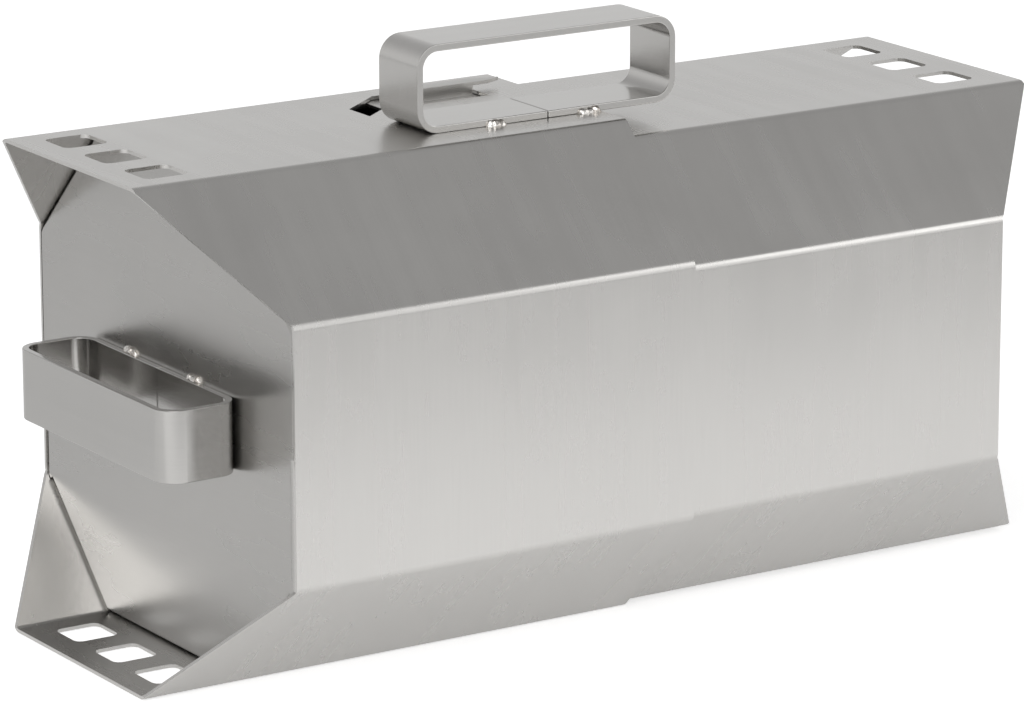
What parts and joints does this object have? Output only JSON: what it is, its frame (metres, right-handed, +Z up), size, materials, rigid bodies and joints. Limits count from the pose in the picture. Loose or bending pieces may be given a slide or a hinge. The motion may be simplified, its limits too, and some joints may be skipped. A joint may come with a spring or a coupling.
{
  "type": "charcoal burner",
  "caption": "Octagonal sheet steel charcoal burner of two halves that slide together, with flared wings, bar handles and a sliding vent.",
  "frame": {"origin": "middle of the bounding box's bottom face, on the floor under the burner", "axes": "+X along the burner from the sleeve to the inner half, +Z up, -Y the side the top handle is nearer to"},
  "size_m": [0.436, 0.21, 0.247],
  "materials": {
    "shell_steel": "brushed",
    "plate_steel": "satin",
    "handle_steel": "brushed",
    "vent_steel": "satin",
    "weld_steel": "bright"
  },
  "bodies": {
    "outer_half": {"outer_shell": "shell_steel", "outer_end_plate": "plate_steel", "outer_plate_welds": "weld_steel", "left_handle": "handle_steel", "left_handle_welds": "weld_steel", "top_handle": "handle_steel", "top_handle_welds": "weld_steel", "vent_rail_front": "vent_steel", "vent_rail_back": "vent_steel", "depth_stop_front": "vent_steel", "depth_stop_back": "vent_steel"},
    "inner_half": {"inner_shell": "shell_steel", "inner_end_plate": "plate_steel", "inner_plate_welds": "weld_steel", "right_handle": "handle_steel", "right_handle_welds": "weld_steel"},
    "vent_slide": {"vent_slide": "vent_steel"}
  },
  "joints": [
    {"name": "inner_half_pull", "type": "slide", "parent": "outer_half", "child": "inner_half", "axis": [1, 0, 0], "range_m": [0, 0.2]},
    {"name": "vent_slide_travel", "type": "slide", "parent": "outer_half", "child": "vent_slide", "axis": [-1, 0, 0], "range_m": [0, 0.018]}
  ]
}
